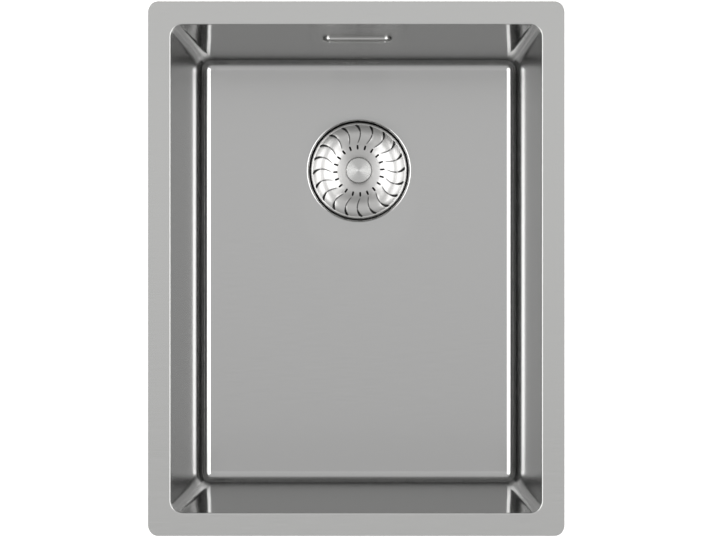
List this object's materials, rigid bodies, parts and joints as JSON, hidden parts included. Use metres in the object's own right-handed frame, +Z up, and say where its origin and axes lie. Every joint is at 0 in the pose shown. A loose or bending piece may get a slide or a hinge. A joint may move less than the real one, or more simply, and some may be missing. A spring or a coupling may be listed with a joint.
{
  "type": "undermount kitchen sink",
  "caption": "Undermount kitchen sink in brushed steel with a rear drain, lift-out strainer plug, overflow hose and swivelling worktop clips.",
  "frame": {"origin": "centre of the bowl's opening, in the plane of the rim's top face", "axes": "+X right, +Y to the rear towards the drain and the overflow, +Z up"},
  "size_m": [0.342, 0.438, 0.2868],
  "materials": {
    "bowl_steel": "brushed",
    "sound_pad": "bitumen sheet, matt",
    "gasket_rubber": "moulded, satin",
    "foam_gasket": "closed-cell foam",
    "seal_rubber": "moulded, satin",
    "cup_steel": "deep drawn, satin",
    "trim_steel": "polished",
    "strainer_steel": "pressed and polished",
    "knob_steel": "turned",
    "fastener_steel": "plain",
    "spring_steel": "plain",
    "zinc_plate": "bright zinc plating",
    "waste_plastic": "moulded, fine satin",
    "stopper_plastic": "moulded",
    "hose_plastic": "blow moulded, satin"
  },
  "bodies": {
    "sink": {"bowl": "bowl_steel", "floor_sound_pad": "sound_pad", "left_sound_pad": "sound_pad", "right_sound_pad": "sound_pad", "front_sound_pad": "sound_pad", "cup_gasket": "gasket_rubber", "waste_cup": "cup_steel", "clamp_ring": "zinc_plate", "waste_studs": "fastener_steel", "waste_washers": "fastener_steel", "waste_nuts": "fastener_steel", "body_gasket": "gasket_rubber", "waste_body": "waste_plastic", "centre_screw": "fastener_steel", "overflow_trim": "trim_steel", "overflow_gasket": "foam_gasket", "overflow_housing": "waste_plastic", "overflow_studs": "fastener_steel", "overflow_nuts": "fastener_steel", "overflow_hose": "hose_plastic", "upper_hose_clamp": "fastener_steel", "lower_hose_clamp": "fastener_steel", "clip_studs": "fastener_steel", "clip_washers": "fastener_steel", "clip_wing_nuts": "zinc_plate"},
    "plug": {"plug_stem": "fastener_steel", "stopper_bell": "stopper_plastic", "stopper_seal": "seal_rubber", "stem_detent_ring": "spring_steel", "bell_circlip": "spring_steel", "knob_snap_ring": "spring_steel"},
    "strainer": {"strainer_plate": "strainer_steel", "strainer_knob": "knob_steel", "knob_push_nut": "spring_steel"},
    "left_front_swivel": {"left_front_clip": "zinc_plate"},
    "left_rear_swivel": {"left_rear_clip": "zinc_plate"},
    "right_front_swivel": {"right_front_clip": "zinc_plate"},
    "right_rear_swivel": {"right_rear_clip": "zinc_plate"},
    "front_swivel": {"front_clip": "zinc_plate"},
    "rear_swivel": {"rear_clip": "zinc_plate"}
  },
  "joints": [
    {"name": "plug_lift", "type": "slide", "parent": "sink", "child": "plug", "axis": [0, 0, 1], "range_m": [0, 0.06]},
    {"name": "strainer_spin", "type": "hinge", "parent": "plug", "child": "strainer", "pos_m": [0, 0.09, -0.19], "axis": [0, 0, 1], "continuous": true},
    {"name": "left_front_swing", "type": "hinge", "parent": "sink", "child": "left_front_swivel", "pos_m": [-0.1621, -0.12, -0.0056], "axis": [0, 0, 1], "range_deg": [0, 90]},
    {"name": "left_rear_swing", "type": "hinge", "parent": "sink", "child": "left_rear_swivel", "pos_m": [-0.1621, 0.12, -0.0056], "axis": [0, 0, -1], "range_deg": [0, 90]},
    {"name": "right_front_swing", "type": "hinge", "parent": "sink", "child": "right_front_swivel", "pos_m": [0.1621, -0.12, -0.0056], "axis": [0, 0, -1], "range_deg": [0, 90]},
    {"name": "right_rear_swing", "type": "hinge", "parent": "sink", "child": "right_rear_swivel", "pos_m": [0.1621, 0.12, -0.0056], "axis": [0, 0, 1], "range_deg": [0, 90]},
    {"name": "front_swing", "type": "hinge", "parent": "sink", "child": "front_swivel", "pos_m": [0, -0.2101, -0.0056], "axis": [0, 0, -1], "range_deg": [0, 90]},
    {"name": "rear_swing", "type": "hinge", "parent": "sink", "child": "rear_swivel", "pos_m": [0.0198, 0.2101, -0.0056], "axis": [0, 0, 1], "range_deg": [0, 90]}
  ]
}
